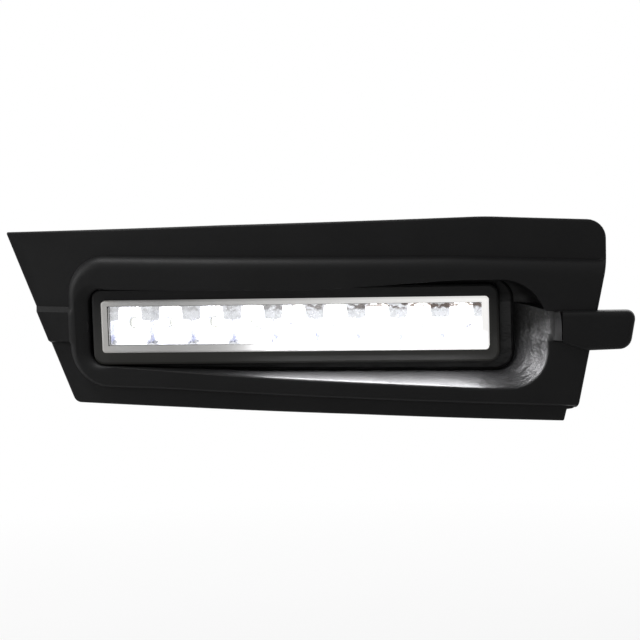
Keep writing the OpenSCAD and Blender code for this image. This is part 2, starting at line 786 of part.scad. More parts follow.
cover_panel();
lamp_housing();
lens();
lens_seal();
reflector();
for (i = [1:led_count]) led(i);
led_board();
thermal_pad();
lead_socket();
heat_sink();
sink_seal();
for (i = [1:6]) small_screw(sink_screws[i - 1][0], sink_screws[i - 1][1], fins_at, small_l + 2);
cable_gland();
vent_plug();
bracket(-1);  // bracket_left
bracket(1);  // bracket_right
for (i = [1:4]) bracket_screw(i);
bumper_bracket(-1, left_foot);  // bumper_bracket_left
bumper_bracket(1, right_foot);  // bumper_bracket_right
small_screw(left_foot[0], left_foot[1], left_foot[2] + ear_t, small_l);  // bumper_bracket_screw_1
small_screw(right_foot[0], right_foot[1], right_foot[2] + ear_t, small_l);  // bumper_bracket_screw_2
spring_clip(tabs[0]);  // clip_upper_left
spring_clip(tabs[1]);  // clip_upper_right
spring_clip(tabs[2]);  // clip_lower_left
spring_clip(tabs[3]);  // clip_lower_right
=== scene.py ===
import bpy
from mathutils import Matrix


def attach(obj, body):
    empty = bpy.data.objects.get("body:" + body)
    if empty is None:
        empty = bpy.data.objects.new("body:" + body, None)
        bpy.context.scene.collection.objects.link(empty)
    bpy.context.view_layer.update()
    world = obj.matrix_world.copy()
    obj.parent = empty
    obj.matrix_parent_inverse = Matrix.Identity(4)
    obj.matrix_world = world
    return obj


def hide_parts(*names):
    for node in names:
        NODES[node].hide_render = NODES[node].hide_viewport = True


bl_info = {
    "name": "Daytime Running Light",
    "version": (1, 0, 0),
    "blender": (4, 5, 0),
    "location": "View3D > Sidebar > Running Light",
    "description": "Builds a lit lamp in the scooped recess of a moulded bumper cover panel",
    "category": "Object",
}

import math

import bpy
from bpy.props import FloatProperty, FloatVectorProperty, IntProperty, PointerProperty
from mathutils import Matrix, Vector

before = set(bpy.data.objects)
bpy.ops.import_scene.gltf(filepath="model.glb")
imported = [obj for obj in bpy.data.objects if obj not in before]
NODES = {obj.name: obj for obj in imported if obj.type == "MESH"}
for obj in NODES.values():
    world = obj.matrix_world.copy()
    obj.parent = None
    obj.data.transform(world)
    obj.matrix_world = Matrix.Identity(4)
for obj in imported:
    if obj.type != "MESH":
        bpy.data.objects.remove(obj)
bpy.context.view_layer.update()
MM = 0.001
QUARTER_TURN = [math.radians(15 * k) for k in range(7)]

# Camera: angles in degrees, lens and sensor in millimetres, the rest in metres.
CAMERA_YAW, CAMERA_PITCH, CAMERA_ROLL = 7.8, 7.8, 1.714204
CAMERA_LENS, CAMERA_SENSOR = 122.57, 36
CAMERA_AWAY = 1.0
TARGET_X, TARGET_Z = 0.0127697, 0.0023599

# Stage: name, place, size in metres and power in watts of each lamp.
LAMPS = (
    ("key", (-0.5, -0.2, 0.85), 0.35, 7.4),
    ("fill", (0.5, -1.5, 0.8), 0.8, 0.4),
    ("back", (0.1, 1.2, 0.9), 1.2, 12.0),
    ("left", (-1.3, -0.2, 0.3), 0.4, 5.5),
)
LAMPS_AIM_AT = (0, -0.03, 0)
THROWN_SIZE, THROWN_POWER, THROWN_TILT = (0.1, 0.014), 0.2, -22
THROWN_X, THROWN_AHEAD, THROWN_Z = 0.035, 0.0032, -0.002
AMBIENT, BACKDROP = 0.075, 1.0
FLOOR_HALF, FLOOR_Z = 30, -0.3
BACKDROP_RAYS = ("Is Camera Ray", "Is Glossy Ray", "Is Transmission Ray")


# ---------------------------------------------------------------- properties


class PanelSizes(bpy.types.PropertyGroup):
    """Sizes of the moulded cover panel."""

    wall: FloatProperty(name="Wall", description="Wall of the moulding", default=0.0025, unit="LENGTH")
    curve: FloatProperty(
        name="Curve", description="Radius of the panel seen from above", default=0.9, unit="LENGTH"
    )
    crest: FloatProperty(
        name="Crest", description="Where along X the curve stands furthest forward", default=0.12, unit="LENGTH"
    )
    ahead: FloatProperty(
        name="Ahead", description="How far the crest stands ahead of the lens", default=0.027, unit="LENGTH"
    )
    step: FloatProperty(
        name="Step", description="How far the strips lie behind the frame", default=0.005, unit="LENGTH"
    )
    turn: FloatProperty(
        name="Return", description="Depth of the returned edge", default=0.007, unit="LENGTH"
    )
    spacing: FloatProperty(
        name="Spacing", description="Distance between two sections of the moulding", default=0.0022, unit="LENGTH"
    )


class LampSizes(bpy.types.PropertyGroup):
    """Sizes of the lamp behind the panel."""

    lens_face: FloatProperty(
        name="Lens face", description="Where the lens face stands along Y", default=-0.032, unit="LENGTH"
    )
    sources: IntProperty(name="Sources", description="Number of light sources", default=9)
    cup_depth: FloatProperty(
        name="Cup depth", description="Depth of a reflector cup", default=0.01, unit="LENGTH"
    )
    focus: FloatProperty(
        name="Focus", description="Focal length of a reflector cup", default=0.0026, unit="LENGTH"
    )


class Finishes(bpy.types.PropertyGroup):
    """Colours and light."""

    plastic: FloatVectorProperty(
        name="Panel plastic",
        description="Colour of the moulded panel",
        default=(0.007, 0.007, 0.0072),
        subtype="COLOR",
    )
    housing: FloatVectorProperty(
        name="Housing plastic",
        description="Colour of the lamp housing",
        default=(0.016, 0.016, 0.0162),
        subtype="COLOR",
    )
    light: FloatVectorProperty(
        name="Light", description="Colour of the light sources", default=(1.0, 0.985, 0.955), subtype="COLOR"
    )
    strength: FloatProperty(name="Strength", description="Strength of the light sources", default=2.6)
    # Painted glow: emission strength on the reflector cups, standing in for the light they reflect.
    painted_glow: FloatProperty(name="Glow", description="Light that a cup sends out", default=0.9)
    floor: FloatVectorProperty(
        name="Floor", description="Colour of the floor", default=(0.86, 0.86, 0.86), subtype="COLOR"
    )


# ---------------------------------------------------------------- flat geometry, in millimetres


def unit(v):
    return v / v.length


def cross(a, b):
    return a.x * b.y - a.y * b.x


def clamp(v, lo, hi):
    return max(lo, min(hi, v))


def blend(a, b, f):
    return a + (b - a) * f


def ease(f):
    """Smooth rise from 0 to 1."""
    f = clamp(f, 0.0, 1.0)
    return f * f * (3 - 2 * f)


def box_corners(half_w, half_h):
    return [(-half_w, -half_h), (half_w, -half_h), (half_w, half_h), (-half_w, half_h)]


def ring(corners, steps):
    """Closed outline through corners of the form (x, z, radius), each corner rounded."""
    points = []
    for i, (x, z, r) in enumerate(corners):
        p = Vector((x, z))
        if r == 0:
            points.append(p)
            continue
        a = Vector(corners[i - 1][:2])
        b = Vector(corners[(i + 1) % len(corners)][:2])
        u, v = unit(a - p), unit(b - p)
        half = math.acos(clamp(u.dot(v), -1, 1)) / 2
        centre = p + unit(u + v) * (r / math.sin(half))
        start = p + u * (r / math.tan(half)) - centre
        way = 1 if cross(u, start) > 0 else -1
        sweep = math.pi - 2 * half
        for k in range(steps + 1):
            t = way * sweep * k / steps
            c, s = math.cos(t), math.sin(t)
            points.append(centre + Vector((start.x * c - start.y * s, start.x * s + start.y * c)))
    return points


def spaced(path, gap):
    """The same outline with points at most a gap apart."""
    out = []
    for i, a in enumerate(path):
        b = path[(i + 1) % len(path)]
        n = max(1, math.ceil((b - a).length / gap))
        out.extend(a.lerp(b, k / n) for k in range(n))
    return out


def reach(c, d, path):
    """Furthest distance from c along d to where it crosses a closed outline."""
    best = 0.0
    for i, a in enumerate(path):
        e = path[(i + 1) % len(path)] - a
        k = cross(d, e)
        if abs(k) < 1e-12:
            continue
        t, u = cross(a - c, e) / k, cross(a - c, d) / k
        if -1e-6 <= u <= 1 + 1e-6:
            best = max(best, t)
    return best


# ---------------------------------------------------------------- mesh helpers


def piece(name, verts, faces, material, replaces=(), angle=32):
    """A new piece of the object, from vertices in millimetres."""
    mesh = bpy.data.meshes.new(name)
    mesh.from_pydata([Vector(v) * MM for v in verts], [], faces)
    mesh.validate()
    mesh.shade_smooth()
    mesh.set_sharp_from_angle(angle=math.radians(angle))
    mesh.materials.append(material)
    made = bpy.data.objects.new(name, mesh)
    bpy.context.scene.collection.objects.link(made)
    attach(made, "root")
    if replaces:
        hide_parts(*replaces)
    return made


class Solid:
    """Collects vertices and faces of one piece."""

    def __init__(self):
        self.verts = []
        self.faces = []

    def loft(self, rings, closed=False, caps=True):
        """Skin over equal rings of points; closed joins the last ring to the first."""
        n, m, base = len(rings), len(rings[0]), len(self.verts)
        for r in rings:
            self.verts.extend(Vector(p) for p in r)
        for i in range(n if closed else n - 1):
            for j in range(m):
                a, b = base + i * m + j, base + i * m + (j + 1) % m
                c, e = base + ((i + 1) % n) * m + (j + 1) % m, base + ((i + 1) % n) * m + j
                self.faces.append((a, b, c, e))
        if caps and not closed:
            self.faces.append(tuple(base + j for j in reversed(range(m))))
            self.faces.append(tuple(base + (n - 1) * m + j for j in range(m)))

    def tapered(self, x0, x1, z0, z1, near, far, draft, lens_y):
        """A block that is smaller by the draft at its far end."""
        front = [(x0, z0), (x1, z0), (x1, z1), (x0, z1)]
        a, b, c, d = x0 + draft, x1 - draft, z0 + draft, z1 - draft
        rear = [(a, c), (b, c), (b, d), (a, d)]
        self.loft([[(x, lens_y + far, z) for x, z in rear], [(x, lens_y + near, z) for x, z in front]])


# ---------------------------------------------------------------- the panel's outlines, in millimetres

RIM_HW, RIM_HH = 94.8, 18.0
BODY_HW, BODY_HH = 91.6, 14.8
SEAT_AT = 7.0
LINE_UP, LINE_DOWN = 8.9, 8.4
SWAGE_OUT, SLAT_OUT = 3.4, 3.2
SCOOP_SIDE = 22.4
SWAGE_Z = (LINE_UP, LINE_UP - 2.2, 0.0, -LINE_DOWN + 1.4, -LINE_DOWN)
PANEL_TOP, PANEL_LOW = RIM_HH + 25.7, -RIM_HH - 18.4
PANEL_LEFT, PANEL_RIGHT = RIM_HW + 43.3, RIM_HW + 48.6
FRAME_LEFT, FRAME_TOP = RIM_HW + 11.8, RIM_HH + 15.2

CUTOUT = [
    (-BODY_HW - 0.2, BODY_HH + 0.2, 3),
    (BODY_HW + 0.2, BODY_HH + 0.2, 3),
    (BODY_HW + 0.2, -BODY_HH - 0.2, 3),
    (-BODY_HW - 0.2, -BODY_HH - 0.2, 3),
]
FLOOR_EDGE = [
    (-RIM_HW - 1.2, RIM_HH + 0.8, 7),
    (RIM_HW + 6.4, RIM_HH + 1.8, 9),
    (RIM_HW + 6.4, -RIM_HH - 4.6, 9),
    (-15, -RIM_HH - 3.9, 90),
    (-RIM_HW - 1.2, -RIM_HH - 0.5, 7),
]
OPENING = [
    (-RIM_HW - 1.2, RIM_HH, 7),
    (8, RIM_HH + 0.4, 80),
    (78, RIM_HH + 5.1, 60),
    (RIM_HW + SCOOP_SIDE, RIM_HH + 5.1, 20),
    (RIM_HW + SCOOP_SIDE, -RIM_HH - 7.3, 17),
    (88, -RIM_HH - 7.3, 40),
    (-RIM_HW - 1.2, -RIM_HH + 0.3, 7),
]
FRAME = [
    (-FRAME_LEFT, FRAME_TOP, 19),
    (75, FRAME_TOP, 200),
    (190, FRAME_TOP - 4.4, 1),
    (190, -RIM_HH - 18.2, 1),
    (-60, -RIM_HH - 10.4, 200),
    (-FRAME_LEFT, -RIM_HH - 10.4, 19),
]


def left_x(z):
    """The left edge leans in towards the bottom."""
    return -PANEL_LEFT + (PANEL_TOP - z) * 0.407


OUTLINE = (
    [(left_x(PANEL_LOW), PANEL_LOW, 4)]
    + [(left_x(z), z, 0) for z in reversed(SWAGE_Z)]
    + [
        (-PANEL_LEFT, PANEL_TOP, 0.7),
        (-30, PANEL_TOP + 3.9, 600),
        (90, PANEL_TOP + 7, 150),
        (PANEL_RIGHT, PANEL_TOP + 4.6, 8.5),
        (PANEL_RIGHT, 28, 40),
        (RIM_HW + 35.4, -RIM_HH - 17.6, 5),
        (RIM_HW + 30.4, -RIM_HH - 18.0, 0.6),
        (RIM_HW + 29.1, PANEL_LOW - 4.8, 0.8),
        (30, PANEL_LOW - 2.2, 600),
        (-50, PANEL_LOW - 0.7, 400),
    ]
)
HUB = (-BODY_HW + 8, BODY_HW - 4, -LINE_DOWN - 0.1, LINE_UP + 0.3)
SLAT_LEFT = RIM_HW + SCOOP_SIDE
SLAT_RIGHT = SLAT_LEFT + 39.2
SLAT_CUT, SLAT_SOFT, SLAT_FOOT = 7.0, 2.4, -LINE_DOWN + 3.6
SLAT_DEPTH, SLAT_RAMP = 5.8, 3.2
EDGE_R, EDGE_INSET = 1.2, 1.6
WALL_STEPS = 14
RIBS = [(-39.8, 1), (0, 1), (39.8, 1), (99.5, 1), (-30.3, -1), (19.9, -1), (50.2, -1)]
TABS = [(-72.0, 36), (72.0, 40), (-57.8, -31.5), (72.0, -33.5)]
BOSSES = [(-101, 0, 19), (101, 0, 19), (-110, 20.5, 19), (123.2, 20.5, -6)]


class Panel:
    """Works out the moulded panel's surface, in millimetres behind the lens face."""

    def __init__(self, sizes):
        self.wall = sizes.wall / MM
        self.bow = sizes.curve / MM
        self.crest = sizes.crest / MM
        self.ahead = sizes.ahead / MM
        self.step = sizes.step / MM
        self.turn = sizes.turn / MM

    def face(self, x):
        """Depth of the frame's face, which is an arc seen from above."""
        return self.bow - self.ahead - math.sqrt(self.bow**2 - (x - self.crest) ** 2)

    def swage(self, z):
        """How much of the left swage stands at a height."""
        up = (SWAGE_Z[0] - z) / (SWAGE_Z[0] - SWAGE_Z[1])
        down = (z - SWAGE_Z[4]) / (SWAGE_Z[3] - SWAGE_Z[4])
        return clamp(min(up, down), 0, 1)

    def fall(self, s, r):
        """Fall from the frame to the strips at a distance s outside the frame's foot line."""
        if s <= -r:
            return 0.0
        if s >= 0:
            return self.step
        return self.step * (1 - math.sqrt(max(0.0, 1 - ((s + r) / r) ** 2)))

    def fall_behind(self, s):
        """The same fall on the back of the moulding, drawn out by the wall."""
        return self.step * ease((s + self.wall + 1.6) / 2.6)

    def section(self, c, d, edge, cosine, rings):
        """One section of the moulding as (distance from the hub, depth)."""
        hole, foot, opening, sill = (reach(c, d, r) for r in rings)
        left = max(0.0, -d.x) ** 2
        height = c.y + d.y * opening
        overhead = 1.0 if height > LINE_UP else 0.0
        right = clamp(1.6 * d.x, 0, 1) if overhead else max(0.0, d.x) ** 2
        tilt = max(0.3, abs(d.y)) if d.x > 0 else 1.0
        r = blend(6.0 if d.y > 0 else 2.0, 4.0, left)
        lip = 0.15 if d.y > 0 else blend(0.3, 1.4, clamp((c.x + 60) / 60, 0, 1))
        lip_w, lip_d = blend(lip, 7.0, left), blend(lip, 3.2, left)
        on_wing = d.x < -0.5

        def base(t):
            return self.face(c.x + d.x * t)

        def rest(t):
            return 1 - self.swage(c.y + d.y * t) * SWAGE_OUT / self.step if on_wing else 1.0

        def front(t):
            return base(t) + self.fall((t - sill) * tilt, r) * rest(t)

        def back(t):
            return base(t) + self.fall_behind((t - sill) * tilt) * rest(t) + self.wall

        skin, edge_r, inset = self.wall / cosine, EDGE_R / cosine, EDGE_INSET / cosine
        lip_end = opening + lip_w
        top = base(lip_end) + lip_d
        lip_bend = [
            (opening + lip_w * (1 - math.cos(angle)), base(lip_end) + lip_d * (1 - math.sin(angle)))
            for angle in QUARTER_TURN
        ]
        if d.x > 0.9 and SLAT_FOOT < height < LINE_UP:
            lip_end = opening + SLAT_CUT - 0.2
            top += SLAT_RAMP * ease((height - SLAT_FOOT) / 3)
            edge_in = clamp(1 - min(LINE_UP - height, height - SLAT_FOOT) / SLAT_SOFT, 0, 1)
            crest = self.face(SLAT_LEFT) - SLAT_OUT + 0.1 + SLAT_SOFT * (1 - math.sqrt(1 - edge_in**2))
            lip_bend = [(blend(opening, lip_end - 0.2, k / 6), blend(top, crest, k / 6)) for k in range(7)]
        a, b = Vector((foot, SEAT_AT - 1)), Vector((opening, top))
        over, ahead = blend(0.4, 0.95, overhead), blend(0.35, 0.05, overhead)
        bend = Vector(
            (blend(foot, opening, blend(0.5, over, right)), blend(a.y, top, blend(0.5, ahead, right)))
        )

        def curve(k):
            return a * (1 - k) ** 2 + bend * 2 * k * (1 - k) + b * k * k

        def slope(k):
            return unit((bend - a) * (1 - k) + (b - bend) * k)

        end = edge - edge_r
        bead = 0.5 * clamp((c.x + 60) / 40, 0, 1) if d.y <= 0 else 0.5 * ease((d.x - 0.5) / 0.3)
        out = [(hole, SEAT_AT), (foot - 0.45 - 2 * bead, SEAT_AT)]
        out += [(foot - 0.4 - f * bead, SEAT_AT - h * bead) for f, h in ((1.5, 0.7), (1, 1), (0.5, 0.7))]
        out += [(foot - 0.2, SEAT_AT - 0.1), (foot - 0.05, SEAT_AT - 0.4)]
        out += [tuple(curve(k / WALL_STEPS)) for k in range(WALL_STEPS)]
        out += lip_bend
        stops = [sill - r * (1 - math.sin(math.radians(k * 9))) / tilt for k in range(11)]
        stops = [min(t, end - 0.06 * (15 - k)) for k, t in enumerate(stops)]
        flat = [blend(lip_end, stops[0], k / 5) for k in range(1, 5)]
        last = min(sill + 0.3, end - 0.2)
        tail = [last] + [blend(last, end, k / 4) for k in range(1, 4)]
        out += [(t, front(t)) for t in flat + stops + tail]
        for angle in QUARTER_TURN:
            out.append((end + edge_r * math.sin(angle), front(end) + EDGE_R * (1 - math.cos(angle))))
        rim = base(edge) + self.step + self.turn
        outer, inner = edge - inset, edge - inset - skin
        out += [(outer, rim - 0.3), (outer - 0.3, rim), (inner + 0.3, rim), (inner, rim - 0.3)]
        t = edge - skin - 0.4
        out.append((t, back(t)))
        for s in (2.4, 1.2, 0.0, -1.2, -2.4):
            t = min(sill - (self.wall - s) / tilt, edge - skin - 1.5 + 0.2 * s)
            out.append((t, back(t)))
        t = opening + lip_w * 0.4 + self.wall + 0.4
        out.append((t, back(t)))
        for k in range(9, -1, -1):
            n = slope(k / 10)
            p = curve(k / 10) + Vector((-n.y, n.x)) * self.wall * (0.9 if k == 0 else 1)
            out.append(tuple(p))
        out.append((hole, SEAT_AT + self.wall))
        return out


def split_at(path, heights):
    """The same outline with a point on its right side just above and below each height."""
    out = []
    for i, a in enumerate(path):
        b = path[(i + 1) % len(path)]
        out.append(a)
        if a.x > SLAT_LEFT and b.x > SLAT_LEFT:
            levels = [z + s for z in heights for s in (0.02, -0.02)]
            out.extend(a.lerp(b, (z - a.y) / (b.y - a.y)) for z in levels if a.y > z > b.y)
    return out


def build_panel(panel, gap, lens_y, material):
    """The whole cover as one piece: skin, slat, ribs, bosses and tabs."""
    solid = Solid()
    path = split_at(spaced(ring(OUTLINE, 8), gap), (LINE_UP, SLAT_FOOT))
    rings = [ring(CUTOUT, 6), ring(FLOOR_EDGE, 16), ring(OPENING, 20), ring(FRAME, 20)]
    loops = []
    for i, q in enumerate(path):
        c = Vector((clamp(q.x, HUB[0], HUB[1]), clamp(q.y, HUB[2], HUB[3])))
        d = unit(q - c)
        along = unit(path[(i + 1) % len(path)] - path[i - 1])
        cosine = max(0.55, abs(cross(along, d)))
        loops.append(
            [
                (c.x + d.x * t, lens_y + depth, c.y + d.y * t)
                for t, depth in panel.section(c, d, (q - c).length, cosine, rings)
            ]
        )
    solid.loft(loops, closed=True)
    add_slat(solid, panel, lens_y)
    add_back(solid, panel, rings, lens_y)
    return piece("cover_moulding", solid.verts, solid.faces, material, ["cover_panel"])


def slat_outline(cut, inset):
    """Outline of the slat from a cut right of the scoop, drawn in by the inset."""
    top = LINE_UP - inset
    return ring(
        [
            (SLAT_LEFT + cut, top, 0),
            (SLAT_RIGHT - inset, top, 3.8),
            (SLAT_RIGHT - 3 - inset, -LINE_DOWN + 0.4 + inset, 5.6),
            (SLAT_LEFT + max(16, cut + 8), -LINE_DOWN - 0.3 + inset, 0),
            (SLAT_LEFT + cut, -LINE_DOWN + 4.2 - cut * 0.12 + inset * 0.5, 0),
        ],
        8,
    )


def add_slat(solid, panel, lens_y):
    """The slat that carries the styling line past the panel's right edge."""
    depth = panel.face(SLAT_LEFT) - SLAT_OUT
    rings = []
    for angle in QUARTER_TURN:
        back, inset = SLAT_SOFT * (1 - math.cos(angle)), SLAT_SOFT * (1 - math.sin(angle))
        rings.append((depth + back, SLAT_CUT, inset))
    rings.append((depth + SLAT_DEPTH, SLAT_CUT, 0.0))
    loops = [[(p.x, lens_y + y, p.y) for p in slat_outline(cut, inset)] for y, cut, inset in rings]
    inner = [
        [(p.x, lens_y + y, p.y) for p in slat_outline(cut, panel.wall)]
        for y, cut in ((depth + SLAT_DEPTH, 10), (depth + panel.wall, 10))
    ]
    solid.loft(loops + inner)


def add_back(solid, panel, rings, lens_y):
    """Ribs, bosses and clip tabs behind the panel."""
    outline = ring(OUTLINE, 8)
    for x, side in RIBS:
        c, d = Vector((x, 0)), Vector((0, side))
        z0 = reach(c, d, rings[2]) + 2.2
        z1 = reach(c, d, rings[3]) - panel.wall
        z2 = reach(c, d, outline) - panel.wall
        near = panel.face(x) + panel.wall - 0.5
        far = panel.face(x) + panel.step + panel.turn - 2
        for a, b, y in ((z0, z1 - 1.6, near), (z1 - 2, z2, near + panel.step)):
            lo, hi = sorted((side * a, side * b))
            solid.tapered(x - 0.9, x + 0.9, lo, hi, y, far, 0.3, lens_y)
    for x, z, far in BOSSES:
        root = SEAT_AT + 0.6 if x == 101 else panel.face(x) + panel.wall - 0.8
        if x < -101:
            root += panel.step
        rows = []
        for r, y in ((4.4, root), (4.0, far - 0.3), (3.7, far), (1.8, far), (1.5, far - 0.4), (1.5, far - 8)):
            rows.append(
                [
                    (x + r * math.cos(k * math.pi / 16), lens_y + y, z + r * math.sin(k * math.pi / 16))
                    for k in range(32)
                ]
            )
        solid.loft(rows)
    gusset = [(0, SEAT_AT - 2), (7.5, SEAT_AT - 14), (7.5, SEAT_AT - 10), (0, 16)]
    x = RIM_HW + 8.2
    solid.loft([[(x + a, lens_y + y, z) for a, y in gusset] for z in (-0.9, 0.9)])
    for x, z in TABS:
        root = panel.face(x) + panel.step + panel.wall - 0.8
        far = panel.face(x) + panel.step + panel.turn + 12
        solid.tapered(x - 6, x + 6, z - 1, z + 1, root, far, 0.15, lens_y)


class Tray:
    """Reflector with one faceted cup for each light source, in millimetres."""

    WIDE, TALL = 87.0, 9.1
    NEAR = 5.2
    FACETS = 40
    OPENING = [
        (-9.45, -8.95, 0.8),
        (-9.45, 2.4, 0.8),
        (-5.4, 2.4, 0.4),
        (-5.1, 8.95, 0.6),
        (5.1, 8.95, 0.6),
        (5.4, 2.4, 0.4),
        (9.45, 2.4, 0.8),
        (9.45, -8.95, 0.8),
    ]

    def __init__(self, sizes):
        self.count = sizes.sources
        self.pitch = 2 * self.WIDE / self.count
        self.depth = sizes.cup_depth / MM
        self.focus = sizes.focus / MM
        self.lens_y = sizes.lens_face / MM

    def centres(self):
        return [(i - (self.count - 1) / 2) * self.pitch for i in range(self.count)]

    def cup(self, solid, x0):
        """One cup: a parabola in rows of facets, cut off by the opening's outline."""
        opening = ring(self.OPENING, 3)
        half = self.pitch / 2
        cell = [Vector(p) for p in box_corners(half, self.TALL)]
        centre = Vector((0, 0))
        rows = [[] for _ in range(9)]
        for k in range(self.FACETS):
            angle = 2 * math.pi * (k + 0.5) / self.FACETS
            d = Vector((math.cos(angle), math.sin(angle)))
            limit, edge = reach(centre, d, opening), reach(centre, d, cell)
            for row, f in enumerate((0.0, 0.2, 0.4, 0.6, 0.8, 1.0)):
                r = blend(2.8, limit, f)
                scallop = 0.35 * (k % 2) * math.sin(math.pi * f)
                height = min((r - 0.9) ** 2 / (4 * self.focus), self.depth) - scallop
                rows[row].append((x0 + d.x * r, self.lens_y + self.NEAR + self.depth - height, d.y * r))
            for row, (r, y) in enumerate(((limit, 0.25), (limit + 0.25, 0.0), (edge, 0.0)), 6):
                r = min(r, edge)
                rows[row].append((x0 + d.x * r, self.lens_y + self.NEAR + y, d.y * r))
        first = len(solid.faces)
        solid.loft(rows, caps=False)
        return first, first + 6 * self.FACETS

    def build(self, cups, plate):
        solid = Solid()
        bright = []
        for x in self.centres():
            bright.append(self.cup(solid, x))
        outline = ring([(x, z, 0.8) for x, z in box_corners(self.WIDE, self.TALL)], 4)
        solid.loft(
            [
                [(p.x, self.lens_y + y, p.y) for p in outline]
                for y in (self.NEAR, self.NEAR + self.depth)
            ],
            caps=False,
        )
        made = piece("reflector_cups", solid.verts, solid.faces, plate, ["reflector"], 12)
        made.data.materials.append(cups)
        for first, last in bright:
            for face in made.data.polygons[first:last]:
                face.material_index = 1
        return made


# ---------------------------------------------------------------- materials


class Nodes:
    """Short hand for one material's node tree."""

    def __init__(self, name):
        self.material = bpy.data.materials.new(name)
        self.material.use_nodes = True
        self.tree = self.material.node_tree
        self.tree.nodes.clear()
        self.out = self.tree.nodes.new("ShaderNodeOutputMaterial")

    def add(self, kind, **values):
        node = self.tree.nodes.new(kind)
        for key, value in values.items():
            if hasattr(node, key):
                setattr(node, key, value)
            else:
                node.inputs[key.replace("_", " ")].default_value = value
        return node

    def link(self, a, b):
        self.tree.links.new(a, b)

    def coords(self, scale=(1, 1, 1)):
        place = self.add("ShaderNodeTexCoord")
        mapping = self.add("ShaderNodeMapping")
        mapping.inputs["Scale"].default_value = scale
        self.link(place.outputs["Object"], mapping.inputs["Vector"])
        return mapping.outputs["Vector"]

    def noise(self, vector, scale, detail=4.0, rough=0.5):
        tex = self.add("ShaderNodeTexNoise")
        tex.inputs["Scale"].default_value = scale
        tex.inputs["Detail"].default_value = detail
        tex.inputs["Roughness"].default_value = rough
        self.link(vector, tex.inputs["Vector"])
        return tex.outputs["Fac"]

    def axis(self, name):
        place = self.add("ShaderNodeTexCoord")
        axes = self.add("ShaderNodeSeparateXYZ")
        self.link(place.outputs["Object"], axes.inputs["Vector"])
        return axes.outputs[name]

    def calc(self, operation, a, b=None):
        node = self.add("ShaderNodeMath", operation=operation)
        self.link(a, node.inputs[0])
        if isinstance(b, bpy.types.NodeSocket):
            self.link(b, node.inputs[1])
        elif b is not None:
            node.inputs[1].default_value = b
        return node.outputs[0]

    def times(self, a, b):
        return self.calc("MULTIPLY", a, b)

    def mixed(self, factor, colour, other):
        node = self.add("ShaderNodeMix", data_type="RGBA")
        self.link(factor, node.inputs[0])
        self.link(colour, node.inputs[6])
        node.inputs[7].default_value = other
        return node.outputs[2]

    def marks(self):
        """Dark patches along the reflector's top, more of them towards the right."""
        top = self.spread(self.axis("Z"), 0.0, 1.0, 0.0058, 0.007)
        along = self.spread(self.axis("X"), 0.25, 1.0, -0.06, 0.05)
        patches = self.spread(self.noise(self.coords((1, 1, 1.5)), 300, 2, 0.5), 0.0, 1.0, 0.44, 0.54)
        return self.times(top, self.times(along, patches))

    def spread(self, value, low, high, start=0.0, end=1.0):
        node = self.add("ShaderNodeMapRange")
        node.inputs["From Min"].default_value = start
        node.inputs["From Max"].default_value = end
        node.inputs["To Min"].default_value = low
        node.inputs["To Max"].default_value = high
        self.link(value, node.inputs["Value"])
        return node.outputs["Result"]

    def colours(self, value, stops):
        ramp = self.add("ShaderNodeValToRGB")
        while len(ramp.color_ramp.elements) < len(stops):
            ramp.color_ramp.elements.new(0.5)
        for element, (place, colour) in zip(ramp.color_ramp.elements, stops):
            element.position = place
            element.color = (*colour, 1)
        self.link(value, ramp.inputs["Fac"])
        return ramp.outputs["Color"]

    def bump(self, height, strength, distance, normal=None):
        node = self.add("ShaderNodeBump")
        node.inputs["Strength"].default_value = strength
        node.inputs["Distance"].default_value = distance
        self.link(height, node.inputs["Height"])
        if normal is not None:
            self.link(normal, node.inputs["Normal"])
        return node.outputs["Normal"]

    def shader_mix(self, factor, first, second):
        node = self.add("ShaderNodeMixShader")
        self.link(factor, node.inputs[0])
        self.link(first.outputs[0], node.inputs[1])
        self.link(second.outputs[0], node.inputs[2])
        return node

    def surface(self, **values):
        shader = self.add("ShaderNodeBsdfPrincipled")
        for key, value in values.items():
            socket = shader.inputs[key.replace("_", " ")]
            if isinstance(value, bpy.types.NodeSocket):
                self.link(value, socket)
            else:
                socket.default_value = value
        self.link(shader.outputs["BSDF"], self.out.inputs["Surface"])
        return shader


def shades(colour, low, high):
    return tuple(c * low for c in colour), tuple(c * high for c in colour)


def moulded_plastic(name, colour, rough, grain=0.25, specular=0.5, painted_spill=0.0, recess=None):
    """Black plastic with a fine spark grain and faint flow marks.

    The spill strength is a painted glow: emission low down near the lens face, standing in for lens light caught
    beside the lens. Recess says where the wall is wavy and glossier."""
    m = Nodes(name)
    where = m.coords()
    dark, pale = shades(colour, 0.82, 1.22)
    flow = m.noise(where, 34, 3)
    grains = m.noise(where, 2600, 2, 0.6)
    tint = m.colours(flow, [(0.3, dark), (0.72, pale)])
    normal = m.bump(grains, grain, 0.00012)
    normal = m.bump(m.noise(where, 22, 2), 0.12, 0.0006, normal)
    if recess:
        inside = recess(m)
        ripple = m.noise(m.coords((0.45, 0.7, 1)), 210, 3, 0.55)
        normal = m.bump(m.times(ripple, inside), 0.9, 0.0012, normal)
        specular = m.spread(inside, specular, 0.3)
    painted_spill_glow = 0.0
    # Painted glow: emission, strongest low down near the lens face, stands in for lens light caught on the rim.
    if painted_spill:
        low = m.spread(m.axis("Z"), painted_spill, 0.0, -0.012, 0.0125)
        painted_spill_glow = m.times(low, m.spread(m.axis("Y"), 1.0, 0.0, -0.0315, -0.0285))
    m.surface(
        Base_Color=tint,
        Roughness=m.spread(m.noise(where, 60, 4), rough - 0.05, rough + 0.07),
        Normal=normal,
        Specular_IOR_Level=specular,
        Emission_Color=(1, 0.99, 0.9, 1),
        Emission_Strength=painted_spill_glow,
    )
    return m.material


